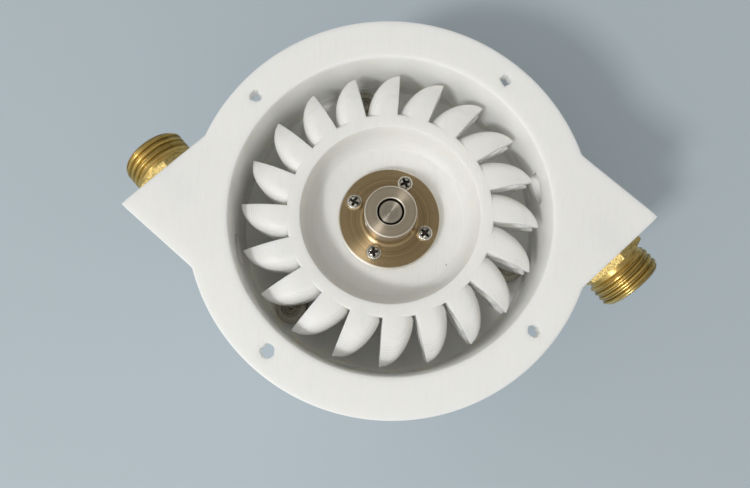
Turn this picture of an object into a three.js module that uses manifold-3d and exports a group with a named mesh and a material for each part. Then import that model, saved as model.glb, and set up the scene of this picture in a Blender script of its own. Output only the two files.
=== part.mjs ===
// Small printed water turbine: a round open housing with two nozzle ears, a bucket wheel on a
// flange coupling, and the generator that carries both. Millimetres, +Z up, base at z = 0.
import * as THREE from "three";
import { mergeVertices } from "three/addons/utils/BufferGeometryUtils.js";
import Module from "manifold-3d";

const wasm = await Module();
wasm.setup();

// Heights, from the base up
const capHeight = 8;
const caseHeight = 34;
const plateThickness = 4;
const floorThickness = 4;
const chamberDepth = 26;
const caseBottom = capHeight;
const plateBottom = caseBottom + caseHeight;
const floorBottom = plateBottom + plateThickness;
const floorTop = floorBottom + floorThickness;
const housingTop = floorTop + chamberDepth;

// Housing
const flangeRadius = 60;
const flangeThickness = 4;
const drumRadius = 51;
const chamberRadius = 48;
const edgeChamfer = 0.7;
const cornerChamfer = 1;
const earReach = 79.2;
const fittingEdgeAngle = THREE.MathUtils.degToRad(42.9);
const backEdgeAngle = THREE.MathUtils.degToRad(39.7);
const fittingFromTip = 15.6;
const flangeHoleRadius = 2.2;
const flangeHoleCircle = 53.9;
const flangeHolePhase = THREE.MathUtils.degToRad(50.4);
const shaftHoleRadius = 6.5;

// Water way: socket for the fitting, cone, and the jet orifice
const nozzleAxisDrop = 12.3;
const nozzleHeight = housingTop - nozzleAxisDrop;
const socketRadius = 10.2;
const socketDepth = 12;
const coneLength = 12;
const waterRadius = 7.5;
const jetRadius = 3.5;
const jetReach = 34;

// Brass fitting
const fittingRadius = 10.2;
const threadPitch = 1.81;
const threadDepth = 0.9;
const threadTurns = 4;
const crestStart = 0.45;
const crestEnd = 0.6;
const mouthLip = 0.2;
const mouthChamfer = 0.5;
const hexAcrossFlats = 20.2;
const hexThickness = 2.8;
const hexTwist = THREE.MathUtils.degToRad(4.5);
const neckRadius = 9.2;
const neckLength = 1.4;
const stubLength = 11.5;
const stubRadius = 9.9;

// Bolts that hold the housing on the generator
const boltCircle = 41.65;
const boltPhase = THREE.MathUtils.degToRad(102.1);
const boltHeadRadius = 5.1;
const boltHeadHeight = 4;
const boltDimple = 0.9;
const boltChamfer = 0.4;
const boltShankRadius = 2.5;
const boltHoleRadius = 2.8;
const boltReach = 7.4;

// Bucket wheel: the rim's outside has one flat side for each bucket
const wheelDrop = 4;
const wheelWidth = 16.6;
const wheelTop = housingTop - wheelDrop;
const wheelMiddle = wheelTop - wheelWidth / 2;
const wheelBottom = wheelTop - wheelWidth;
const bucketCount = 20;
const bucketPitch = (2 * Math.PI) / bucketCount;
const bucketPhase = THREE.MathUtils.degToRad(14.9);
const tipRadius = 45.6;
const rootRadius = 31.3;
const bucketDepth = 9.5;
const backRoundness = 1.85;
const tipDepth = 0.4;
const tipHalfWidth = 4.2;
const rootHalfWidth = wheelWidth / 2 - 0.1;
const widthRoundness = 2.4;
const notchRadius = 2.6;
const notchReach = 41.2;
const rimInnerRadius = 27.2;
const dishEdgeChamfer = 0.4;
const dishDraft = 0.4;
const dishRoundShare = 0.62;
const dishFloorRadius = 22.8;
const dishDrop = 14.3;
const dishFloor = housingTop - dishDrop;
const hubHoleRadius = 4.3;

// Cup hollows, one on each side of the splitter
const cup = { fromAxis: 37.9, fromMiddle: 3.7, length: 5.2, width: 2.85, depth: 6.3 };

// Coupling, its screws and the shaft
const couplingRadius = 16;
const couplingThickness = 2.8;
const bossRadius = 7.8;
const bossTop = housingTop - 1.7;
const couplingTop = dishFloor + couplingThickness;
const bossFillet = 1.2;
const turnedChamfer = 0.3;
const boreRadius = 4.2;
const boreChamfer = 0.5;
const screwCircle = 12;
const screwPhase = THREE.MathUtils.degToRad(67);
const screwHeadRadius = 2.3;
const screwHeadHeight = 1.5;
const screwShoulderShare = 0.45;
const screwCrownShare = 0.7;
const screwShankRadius = 1.3;
const screwHoleRadius = 1.6;
const screwReach = 8;
const grubAngles = [THREE.MathUtils.degToRad(205), THREE.MathUtils.degToRad(115)];
const grubHeight = couplingTop + 5.2;
const grubRadius = 1.8;
const grubHoleRadius = 2;
const grubOuter = 7.4;
const grubInner = 4.4;
const shaftRadius = 4;
const shaftTop = bossTop - 0.6;
const shaftBottom = 22;

// Generator
const plateRadius = 49;
const caseRadius = 43;
const capRadius = 45;
const capChamfer = 1.2;
const bearingOuterRadius = 11;
const bearingInnerRadius = 4.3;
const bearingHeight = 7;
const bearingTop = floorBottom - 0.5;
const fitGap = 0.2;
const shaftBoreRadius = 5;
const capScrewCount = 4;
const capScrewCircle = 36;
const capScrewRadius = 3.4;
const capScrewHead = 1.8;
const capScrewShankRadius = 1.7;
const capScrewReach = 12;
const capRecess = 2.4;
const grommetRadius = 5;
const grommetHoleRadius = 4;
const grommetNeckRadius = 3.8;
const grommetBore = 2.4;
const grommetLip = 2.2;
const grommetChamfer = 0.7;
const grommetInset = 4;
const grommetHeight = caseBottom + 20;

// Sides of round shapes, and how far a cutting shape runs past what it cuts
const roundSides = 60;
const bossSides = 40;
const smallSides = 20;
const holeSides = 16;
const tinySides = 12;
const past = 1;

const materials = {
  plastic: new THREE.MeshStandardMaterial({ color: 0xe9e8e4, roughness: 0.5, metalness: 0 }),
  brass: new THREE.MeshStandardMaterial({ color: 0xc9a03c, roughness: 0.3, metalness: 1 }),
  nickel: new THREE.MeshStandardMaterial({ color: 0xa89b86, roughness: 0.25, metalness: 1 }),
  steel: new THREE.MeshStandardMaterial({ color: 0x9a958c, roughness: 0.35, metalness: 1 }),
  boltMetal: new THREE.MeshStandardMaterial({ color: 0x5b584c, roughness: 0.4, metalness: 1 }),
  aluminium: new THREE.MeshStandardMaterial({ color: 0xb4b6b8, roughness: 0.45, metalness: 1 }),
  rubber: new THREE.MeshStandardMaterial({ color: 0x1b1b1b, roughness: 0.8, metalness: 0 }),
};

function solid(geometry) {
  const bare = geometry.clone();
  bare.deleteAttribute("normal");
  bare.deleteAttribute("uv");
  const merged = mergeVertices(bare, 1e-4);
  return new wasm.Manifold(
    new wasm.Mesh({
      numProp: 3,
      vertProperties: new Float32Array(merged.attributes.position.array),
      triVerts: new Uint32Array(merged.index.array),
    }),
  );
}

function geometryOf(body) {
  const made = body.getMesh();
  const geometry = new THREE.BufferGeometry();
  geometry.setAttribute("position", new THREE.BufferAttribute(made.vertProperties, made.numProp));
  geometry.setIndex(new THREE.BufferAttribute(made.triVerts, 1));
  geometry.computeVertexNormals();
  return geometry;
}

function joined(geometries) {
  return geometries.map(solid).reduce((whole, next) => whole.add(next));
}

function cutAway(whole, geometries) {
  return geometries.map(solid).reduce((left, tool) => left.subtract(tool), whole);
}

// A closed outline of [radius, height] pairs, anticlockwise, turned about +Z
function turned(profile, sides = roundSides) {
  const points = profile.map(([radius, height]) => new THREE.Vector2(radius, height));
  if (profile[0][0] > 0) points.push(points[0].clone());
  return new THREE.LatheGeometry(points, sides).rotateX(Math.PI / 2);
}

function rod(radius, bottom, top, sides = smallSides) {
  return turned([[0, bottom], [radius, bottom], [radius, top], [0, top]], sides);
}

function slab(shape, bottom, top) {
  return new THREE.ExtrudeGeometry(shape, {
    depth: top - bottom,
    bevelEnabled: false,
    curveSegments: roundSides,
  }).translate(0, 0, bottom);
}

function polar(radius, angle) {
  return [radius * Math.cos(angle), radius * Math.sin(angle)];
}

// Where the ear's edge, at an angle from the X axis, meets the flange circle
function earCorner(angle, side) {
  const along = earReach * Math.cos(angle);
  const length = along - Math.sqrt(along ** 2 - earReach ** 2 + flangeRadius ** 2);
  return new THREE.Vector2(
    -earReach + length * Math.cos(angle),
    side * length * Math.sin(angle),
  );
}

// Left ear, seen from above; the right one is the same turned by half a turn
function earShape() {
  const upper = earCorner(fittingEdgeAngle, 1);
  const lower = earCorner(backEdgeAngle, -1);
  const inward = (chamberRadius + drumRadius) / 2 / flangeRadius;
  return new THREE.Shape([
    upper,
    new THREE.Vector2(-earReach, 0),
    lower,
    lower.clone().multiplyScalar(inward),
    upper.clone().multiplyScalar(inward),
  ]);
}

// Places a piece made along +Z, base at z = 0, so that it runs out of the left ear's slanted face
function alongFitting(geometry) {
  const outward = new THREE.Vector3(-Math.sin(fittingEdgeAngle), Math.cos(fittingEdgeAngle), 0);
  const up = new THREE.Vector3(0, 0, 1);
  const frame = new THREE.Matrix4().makeBasis(
    new THREE.Vector3().crossVectors(up, outward),
    up,
    outward,
  );
  frame.setPosition(
    -earReach + fittingFromTip * Math.cos(fittingEdgeAngle),
    fittingFromTip * Math.sin(fittingEdgeAngle),
    nozzleHeight,
  );
  return geometry.applyMatrix4(frame);
}

function halfTurn(geometry) {
  return geometry.clone().rotateZ(Math.PI);
}

function housing() {
  const ear = slab(earShape(), floorBottom, housingTop);
  const body = joined([
    rod(flangeRadius, housingTop - flangeThickness, housingTop, roundSides),
    rod(drumRadius, floorBottom, housingTop, roundSides),
    ear,
    halfTurn(ear),
  ]);
  const chamber = turned([
    [0, floorTop],
    [chamberRadius - cornerChamfer, floorTop],
    [chamberRadius, floorTop + cornerChamfer],
    [chamberRadius, housingTop - edgeChamfer],
    [chamberRadius + 2 * edgeChamfer, housingTop + edgeChamfer],
    [0, housingTop + edgeChamfer],
  ]);
  const waterWay = alongFitting(
    turned(
      [
        [0, -jetReach],
        [jetRadius, -jetReach],
        [jetRadius, -socketDepth - coneLength],
        [waterRadius, -socketDepth],
        [socketRadius, -socketDepth],
        [socketRadius, past],
        [0, past],
      ],
      smallSides,
    ),
  );
  const holes = [];
  for (let quarter = 0; quarter < 4; quarter++) {
    const [x, y] = polar(flangeHoleCircle, flangeHolePhase + (quarter * Math.PI) / 2);
    holes.push(rod(flangeHoleRadius, floorTop, housingTop + past, holeSides).translate(x, y, 0));
  }
  for (let third = 0; third < 3; third++) {
    const [x, y] = polar(boltCircle, boltPhase + (third * 2 * Math.PI) / 3);
    holes.push(rod(boltHoleRadius, floorBottom - past, floorTop + past, holeSides).translate(x, y, 0));
  }
  holes.push(rod(shaftHoleRadius, floorBottom - past, floorTop + past));
  return cutAway(body, [chamber, waterWay, halfTurn(waterWay), ...holes]);
}

// Inlet fitting along +Z: hex foot on the ear's face, neck, ridged thread, and the stub inside
function fitting() {
  const hexRadius = hexAcrossFlats / Math.sqrt(3);
  const hex = new THREE.CylinderGeometry(hexRadius, hexRadius, hexThickness, 6)
    .rotateX(Math.PI / 2)
    .rotateZ(hexTwist)
    .translate(0, 0, hexThickness / 2);
  const profile = [
    [waterRadius, -stubLength],
    [stubRadius, -stubLength],
    [stubRadius, hexThickness / 2],
    [neckRadius, hexThickness / 2],
    [neckRadius, hexThickness + neckLength],
  ];
  for (let turn = 0; turn < threadTurns; turn++) {
    const start = hexThickness + neckLength + turn * threadPitch;
    profile.push(
      [fittingRadius, start + threadPitch * crestStart],
      [fittingRadius, start + threadPitch * crestEnd],
      [fittingRadius - threadDepth, start + threadPitch],
    );
  }
  const mouth = profile[profile.length - 1][1] + mouthLip;
  profile.push(
    [fittingRadius - threadDepth, mouth],
    [waterRadius + mouthChamfer, mouth],
    [waterRadius, mouth - mouthChamfer],
  );
  const middle = rod(stubRadius - mouthChamfer, -past, hexThickness + past);
  return cutAway(solid(hex), [middle]).add(solid(turned(profile, smallSides)));
}

function bolt() {
  return turned(
    [
      [0, -boltReach],
      [boltShankRadius, -boltReach],
      [boltShankRadius, 0],
      [boltHeadRadius, 0],
      [boltHeadRadius, boltHeadHeight - boltChamfer],
      [boltHeadRadius - boltChamfer, boltHeadHeight],
      [boltDimple, boltHeadHeight],
      [0, boltHeadHeight - boltDimple / 2],
    ],
    smallSides,
  );
}

// Depth of the bucket's back behind its face, and half its width, at a share of its length from the tip
function backDepth(share) {
  const reach = Math.max(1 - share, 0) ** backRoundness;
  return tipDepth + (bucketDepth - tipDepth) * (1 - reach) ** (1 / backRoundness);
}

function halfWidth(share) {
  return rootHalfWidth - (rootHalfWidth - tipHalfWidth) * Math.max(1 - share, 0) ** widthRoundness;
}

// Half of a bucket's cross-section, from the face's edge to the groove in the back:
// [share of the depth, share of the half width]
const backSection = [[0, 1], [0.62, 0.93], [0.97, 0.6], [0.8, 0]];

function bucketRing(share) {
  const fromAxis = tipRadius - share * (tipRadius - rootRadius);
  const lean = share === 1 ? Math.tan(bucketPitch / 2) : 0;
  const upper = backSection.map(([depth, width]) => [depth, width]);
  const lower = backSection.slice(0, -1).reverse().map(([depth, width]) => [depth, -width]);
  return [[0, 0], ...upper, ...lower].map(([depth, width]) => {
    const back = depth * backDepth(share);
    return new THREE.Vector3(fromAxis - lean * back, back, width * halfWidth(share));
  });
}

// A closed skin through rings of equal count, with a fan of faces at each end
function lofted(rings) {
  const count = rings[0].length;
  const index = [];
  for (let ring = 0; ring < rings.length - 1; ring++) {
    for (let point = 0; point < count; point++) {
      const next = (point + 1) % count;
      const a = ring * count + point;
      const b = ring * count + next;
      index.push(a, b, a + count, b, b + count, a + count);
    }
  }
  const last = (rings.length - 1) * count;
  for (let point = 1; point < count - 1; point++) {
    index.push(0, point + 1, point);
    index.push(last, last + point, last + point + 1);
  }
  const geometry = new THREE.BufferGeometry().setFromPoints(rings.flat());
  geometry.setIndex(index);
  return geometry;
}

// Where along the bucket its sections lie, from the tip to the end on the rim's flat side
const ringShares = [0, 0.07, 0.2, 0.5, 0.8, 1];

// One bucket along +X, its open face on the plane y = 0 and its back towards +Y
function bucket() {
  const outer = solid(lofted(ringShares.map(bucketRing)));
  const hollows = [-1, 1].map((side) =>
    new THREE.SphereGeometry(1, 8, 6)
      .rotateX(Math.PI / 2)
      .scale(cup.length, cup.depth, cup.width)
      .translate(cup.fromAxis, 0, side * cup.fromMiddle),
  );
  const notchCentre = notchReach + notchRadius;
  const notchLength = tipRadius + past - notchCentre;
  const notchEnd = new THREE.CylinderGeometry(notchRadius, notchRadius, 3 * bucketDepth, 8);
  const notchSlot = new THREE.BoxGeometry(notchLength, 3 * bucketDepth, 2 * notchRadius);
  return cutAway(outer, [
    ...hollows,
    notchEnd.rotateY(Math.PI / 2).translate(notchCentre, 0, 0),
    notchSlot.translate(notchCentre + notchLength / 2, 0, 0),
  ]);
}

function wheelRim() {
  const outside = turned(
    [[0, wheelBottom], [rootRadius, wheelBottom], [rootRadius, wheelTop], [0, wheelTop]],
    bucketCount,
  ).rotateZ(bucketPhase);
  const rise = wheelTop - dishFloor;
  const dish = [[0, dishFloor]];
  for (let step = 4; step >= 0; step--) {
    const angle = (step * Math.PI) / 8;
    dish.push([
      dishFloorRadius + (rimInnerRadius - dishDraft - dishFloorRadius) * Math.cos(angle),
      dishFloor + rise * dishRoundShare * (1 - Math.sin(angle)),
    ]);
  }
  dish.push(
    [rimInnerRadius, wheelTop - dishEdgeChamfer],
    [rimInnerRadius + 2 * dishEdgeChamfer, wheelTop + dishEdgeChamfer],
    [0, wheelTop + dishEdgeChamfer],
  );
  const holes = [rod(hubHoleRadius, wheelBottom - past, dishFloor + past)];
  for (let quarter = 0; quarter < 4; quarter++) {
    const [x, y] = polar(screwCircle, screwPhase + (quarter * Math.PI) / 2);
    holes.push(rod(screwHoleRadius, wheelBottom - past, dishFloor + past, tinySides).translate(x, y, 0));
  }
  return cutAway(solid(outside), [turned(dish), ...holes]);
}

function coupling() {
  const filletMiddle = bossFillet * (1 - Math.SQRT1_2);
  const body = turned(
    [
      [boreRadius, dishFloor],
      [couplingRadius - turnedChamfer, dishFloor],
      [couplingRadius, dishFloor + turnedChamfer],
      [couplingRadius, couplingTop - turnedChamfer],
      [couplingRadius - turnedChamfer, couplingTop],
      [bossRadius + bossFillet, couplingTop],
      [bossRadius + filletMiddle, couplingTop + filletMiddle],
      [bossRadius, couplingTop + bossFillet],
      [bossRadius, bossTop - turnedChamfer],
      [bossRadius - turnedChamfer, bossTop],
      [boreRadius + boreChamfer, bossTop],
      [boreRadius, bossTop - boreChamfer],
    ],
    bossSides,
  );
  const tools = [];
  for (let quarter = 0; quarter < 4; quarter++) {
    const [x, y] = polar(screwCircle, screwPhase + (quarter * Math.PI) / 2);
    tools.push(rod(screwHoleRadius, dishFloor - past, couplingTop + past, tinySides).translate(x, y, 0));
  }
  for (const angle of grubAngles) {
    tools.push(
      rod(grubHoleRadius, boreRadius / 2, bossRadius + past, tinySides)
        .rotateY(Math.PI / 2)
        .translate(0, 0, grubHeight)
        .rotateZ(angle),
    );
  }
  return cutAway(solid(body), tools);
}

function screw() {
  return turned(
    [
      [0, -screwReach],
      [screwShankRadius, -screwReach],
      [screwShankRadius, 0],
      [screwHeadRadius, 0],
      [screwHeadRadius, screwHeadHeight * screwShoulderShare],
      [screwHeadRadius * screwCrownShare, screwHeadHeight],
      [0, screwHeadHeight],
    ],
    tinySides,
  );
}

function generatorPlate() {
  const holes = [];
  for (let third = 0; third < 3; third++) {
    const [x, y] = polar(boltCircle, boltPhase + (third * 2 * Math.PI) / 3);
    holes.push(rod(boltHoleRadius, plateBottom - past, floorBottom + past, holeSides).translate(x, y, 0));
  }
  holes.push(rod(bearingOuterRadius + fitGap, plateBottom - past, floorBottom + past));
  return cutAway(solid(rod(plateRadius, plateBottom, floorBottom, roundSides)), holes);
}

function capScrewPlace(quarter) {
  return polar(capScrewCircle, Math.PI / 4 + (quarter * Math.PI) / 2);
}

function generatorCase() {
  const bearingSeat = bearingTop - bearingHeight;
  const bore = turned(
    [
      [0, shaftBottom - past],
      [shaftBoreRadius, shaftBottom - past],
      [shaftBoreRadius, bearingSeat],
      [bearingOuterRadius + fitGap, bearingSeat],
      [bearingOuterRadius + fitGap, plateBottom + past],
      [0, plateBottom + past],
    ],
    smallSides,
  );
  const leadHole = rod(grommetHoleRadius, 0, 2 * grommetInset)
    .rotateX(Math.PI / 2)
    .translate(0, -caseRadius + grommetInset + past, grommetHeight);
  const tools = [bore, leadHole];
  for (let quarter = 0; quarter < capScrewCount; quarter++) {
    const [x, y] = capScrewPlace(quarter);
    const pilotTop = capRecess + capScrewReach + past;
    const pilot = rod(capScrewShankRadius + fitGap, caseBottom - past, pilotTop, tinySides);
    tools.push(pilot.translate(x, y, 0));
  }
  return cutAway(solid(rod(caseRadius, caseBottom, plateBottom, roundSides)), tools);
}

function endCap() {
  const tools = [];
  for (let quarter = 0; quarter < capScrewCount; quarter++) {
    const [x, y] = capScrewPlace(quarter);
    tools.push(rod(capScrewRadius + 2 * fitGap, -past, capRecess, holeSides).translate(x, y, 0));
    tools.push(rod(capScrewShankRadius + fitGap, -past, caseBottom + past, tinySides).translate(x, y, 0));
  }
  const body = turned([
    [0, 0],
    [capRadius - capChamfer, 0],
    [capRadius, capChamfer],
    [capRadius, capHeight],
    [0, capHeight],
  ]);
  return cutAway(solid(body), tools);
}

function capScrew() {
  return turned(
    [
      [0, capRecess - capScrewHead],
      [capScrewRadius, capRecess - capScrewHead],
      [capScrewRadius, capRecess],
      [capScrewShankRadius, capRecess],
      [capScrewShankRadius, capRecess + capScrewReach],
      [0, capRecess + capScrewReach],
    ],
    tinySides,
  );
}

function bearing() {
  return turned(
    [
      [bearingInnerRadius, bearingTop - bearingHeight],
      [bearingOuterRadius, bearingTop - bearingHeight],
      [bearingOuterRadius, bearingTop],
      [bearingInnerRadius, bearingTop],
    ],
    bossSides,
  );
}

// Rubber bush for the leads, along +Z with its lip outside the case
function grommet() {
  return turned(
    [
      [grommetBore, -grommetInset],
      [grommetNeckRadius, -grommetInset],
      [grommetNeckRadius, 0],
      [grommetRadius, 0],
      [grommetRadius, grommetLip - grommetChamfer],
      [grommetRadius - grommetChamfer, grommetLip],
      [grommetBore, grommetLip],
    ],
    holeSides,
  );
}

function piece(name, shape, material) {
  const geometry = shape.isBufferGeometry ? shape : geometryOf(shape);
  const mesh = new THREE.Mesh(geometry, material);
  mesh.name = name;
  return mesh;
}

const turbine = new THREE.Group();
const rotor = new THREE.Group();
const generator = new THREE.Group();
turbine.add(rotor, generator);

turbine.add(piece("housing", housing(), materials.plastic));
const fittingGeometry = alongFitting(geometryOf(fitting()));
turbine.add(piece("inlet_fitting_left", fittingGeometry, materials.brass));
const rightFitting = piece("inlet_fitting_right", fittingGeometry, materials.brass);
rightFitting.rotation.z = Math.PI;
turbine.add(rightFitting);
for (let third = 0; third < 3; third++) {
  const mesh = piece("housing_bolt_" + (third + 1), bolt(), materials.boltMetal);
  mesh.position.set(...polar(boltCircle, boltPhase + (third * 2 * Math.PI) / 3), floorTop);
  turbine.add(mesh);
}

rotor.add(piece("wheel_rim", wheelRim(), materials.plastic));
const bucketGeometry = geometryOf(bucket());
for (let turn = 0; turn < bucketCount; turn++) {
  const mesh = piece("bucket_" + (turn + 1), bucketGeometry, materials.plastic);
  mesh.position.z = wheelMiddle;
  mesh.rotation.z = bucketPhase + turn * bucketPitch;
  rotor.add(mesh);
}
rotor.add(piece("shaft_coupling", coupling(), materials.nickel));
for (let quarter = 0; quarter < 4; quarter++) {
  const mesh = piece("coupling_screw_" + (quarter + 1), screw(), materials.steel);
  mesh.position.set(...polar(screwCircle, screwPhase + (quarter * Math.PI) / 2), couplingTop);
  rotor.add(mesh);
}
grubAngles.forEach((angle, order) => {
  const shape = rod(grubRadius, grubInner, grubOuter, tinySides).rotateY(Math.PI / 2);
  const mesh = piece("grub_screw_" + (order + 1), shape, materials.boltMetal);
  mesh.position.z = grubHeight;
  mesh.rotation.z = angle;
  rotor.add(mesh);
});
rotor.add(piece("shaft", rod(shaftRadius, shaftBottom, shaftTop), materials.steel));

generator.add(piece("generator_plate", generatorPlate(), materials.aluminium));
generator.add(piece("generator_case", generatorCase(), materials.aluminium));
generator.add(piece("generator_end_cap", endCap(), materials.aluminium));
generator.add(piece("shaft_bearing", bearing(), materials.steel));
for (let quarter = 0; quarter < capScrewCount; quarter++) {
  const mesh = piece("cap_screw_" + (quarter + 1), capScrew(), materials.steel);
  mesh.position.set(...capScrewPlace(quarter), 0);
  generator.add(mesh);
}
const bush = piece("lead_grommet", grommet(), materials.rubber);
bush.rotation.x = Math.PI / 2;
bush.position.set(0, -caseRadius, grommetHeight);
generator.add(bush);

export default turbine;
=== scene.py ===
import math

import bpy
from mathutils import Matrix, Vector


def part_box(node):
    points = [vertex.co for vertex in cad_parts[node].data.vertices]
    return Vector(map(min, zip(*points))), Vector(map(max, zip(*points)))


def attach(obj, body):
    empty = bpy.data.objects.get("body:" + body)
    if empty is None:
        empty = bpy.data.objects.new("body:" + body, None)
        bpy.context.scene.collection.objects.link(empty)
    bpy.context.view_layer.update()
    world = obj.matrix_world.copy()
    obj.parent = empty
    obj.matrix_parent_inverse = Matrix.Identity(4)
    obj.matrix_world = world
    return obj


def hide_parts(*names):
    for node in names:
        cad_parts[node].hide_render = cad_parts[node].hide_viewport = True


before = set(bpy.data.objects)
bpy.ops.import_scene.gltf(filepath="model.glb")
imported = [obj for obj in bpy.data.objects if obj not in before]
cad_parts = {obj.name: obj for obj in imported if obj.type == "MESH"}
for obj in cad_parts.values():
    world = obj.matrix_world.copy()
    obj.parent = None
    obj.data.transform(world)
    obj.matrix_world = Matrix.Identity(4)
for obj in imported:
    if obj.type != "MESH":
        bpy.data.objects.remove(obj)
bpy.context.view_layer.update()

millimetre = 0.001
past = 1  # how far a cutting tool reaches past what it cuts
mergeDistance = 0.001
smoothAngle = 32  # edges that turn by more stay sharp
scene = bpy.context.scene


def heights(node):
    low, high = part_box(node)
    return low.z / millimetre, high.z / millimetre


def polar(radius, degrees, height=0):
    angle = math.radians(degrees)
    return Vector((radius * math.cos(angle), radius * math.sin(angle), height))


def spotsRound(count, circle, phase, height=0):
    return [polar(circle, phase + order * 360 / count, height) for order in range(count)]


# Points of a round stretch of an outline, as an arc of an ellipse about a centre
def arc(centre, across, up, first, last, steps):
    points = []
    for step in range(steps + 1):
        angle = math.radians(first + (last - first) * step / steps)
        points.append((centre[0] + across * math.cos(angle), centre[1] + up * math.sin(angle)))
    return points


# Selecting, editing and modifiers

def deselectAll():
    if bpy.context.object and bpy.context.object.mode != "OBJECT":
        bpy.ops.object.mode_set(mode="OBJECT")
    bpy.ops.object.select_all(action="DESELECT")


def pick(*pieces):
    deselectAll()
    for piece in pieces:
        piece.select_set(True)
    bpy.context.view_layer.objects.active = pieces[0]


def startEdit(piece):
    pick(piece)
    bpy.ops.object.mode_set(mode="EDIT")


def editAll(piece):
    startEdit(piece)
    bpy.ops.mesh.select_all(action="SELECT")


def endEdit():
    bpy.ops.object.mode_set(mode="OBJECT")


def tidyMesh(piece):
    editAll(piece)
    bpy.ops.mesh.remove_doubles(threshold=mergeDistance)
    bpy.ops.mesh.normals_make_consistent(inside=False)
    endEdit()


def modify(piece, kind, **values):
    pick(piece)
    modifier = piece.modifiers.new(kind.title(), kind)
    for name, value in values.items():
        setattr(modifier, name, value)
    bpy.ops.object.modifier_apply(modifier=modifier.name)


def combine(piece, tool, operation, selfCrossing=False):
    modify(piece, "BOOLEAN", operation=operation, solver="EXACT", object=tool, use_self=selfCrossing)
    bpy.data.objects.remove(tool)


def cut(piece, *tools):
    for tool in tools:
        combine(piece, tool, "DIFFERENCE")


def drill(piece, spots, radius, bottom, top, sides=32):
    for spot in spots:
        cut(piece, rod(radius, bottom - past, top + past, spot, sides))


def softenEdges(piece, width, angle=30):
    modify(piece, "BEVEL", width=width, segments=2, limit_method="ANGLE",
           angle_limit=math.radians(angle), use_clamp_overlap=False)


def copyOf(piece):
    pick(piece)
    bpy.ops.object.duplicate(linked=False)
    return bpy.context.object


# Leaves the new object's place, turn and size in its mesh
def settled():
    bpy.ops.object.transform_apply(location=True, rotation=True, scale=True)
    return bpy.context.object


def place(piece, matrix):
    piece.matrix_world = matrix
    pick(piece)
    return settled()


def turned(degrees, axis="Z"):
    return Matrix.Rotation(math.radians(degrees), 4, axis)


def joined(*pieces):
    pick(*pieces)
    bpy.ops.object.join()
    return bpy.context.object


# Shapes: drawn from an outline, turned, rods and boxes

def drawOutline(points, filled=True):
    deselectAll()
    bpy.ops.mesh.primitive_plane_add(size=1, location=points[0])
    settled()
    bpy.ops.object.mode_set(mode="EDIT")
    bpy.ops.mesh.merge(type="CENTER")
    for here, there in zip(points, points[1:]):
        step = Vector(there) - Vector(here)
        bpy.ops.mesh.extrude_vertices_move(TRANSFORM_OT_translate={"value": step})
    bpy.ops.mesh.select_all(action="SELECT")
    if filled:
        bpy.ops.mesh.edge_face_add()
    endEdit()
    return bpy.context.object


# Turns a [radius, height] outline about the upright axis; a ring's outline closes on itself
def lathe(profile, sides=96, ring=False):
    piece = drawOutline([(radius, 0, height) for radius, height in profile], filled=ring)
    editAll(piece)
    if ring:
        bpy.ops.mesh.delete(type="ONLY_FACE")
        bpy.ops.mesh.select_all(action="SELECT")
    bpy.ops.mesh.spin(steps=sides, angle=2 * math.pi, center=(0, 0, 0), axis=(0, 0, 1))
    endEdit()
    tidyMesh(piece)
    return piece


def prism(outline, bottom, top):
    piece = drawOutline([(x, y, bottom) for x, y in outline])
    editAll(piece)
    bpy.ops.mesh.extrude_region_move(TRANSFORM_OT_translate={"value": (0, 0, top - bottom)})
    endEdit()
    tidyMesh(piece)
    return piece


# A turned disc with both its edges broken, or a ring where it has an inner radius
def disc(radius, bottom, top, lowEdge, topEdge, inner=0):
    return lathe([(inner, bottom), (radius - lowEdge, bottom), (radius, bottom + lowEdge),
                  (radius, top - topEdge), (radius - topEdge, top), (inner, top)],
                 sides=128, ring=inner > 0)


def rod(radius, bottom, top, spot=(0, 0), sides=32):
    deselectAll()
    bpy.ops.mesh.primitive_cylinder_add(
        vertices=sides, radius=radius, depth=top - bottom, location=(spot[0], spot[1], (top + bottom) / 2))
    return settled()


def box(size, spot, degrees=0):
    deselectAll()
    turn = (0, 0, math.radians(degrees))
    bpy.ops.mesh.primitive_cube_add(size=1, location=spot, rotation=turn, scale=size)
    return settled()


# Shader building

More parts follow.
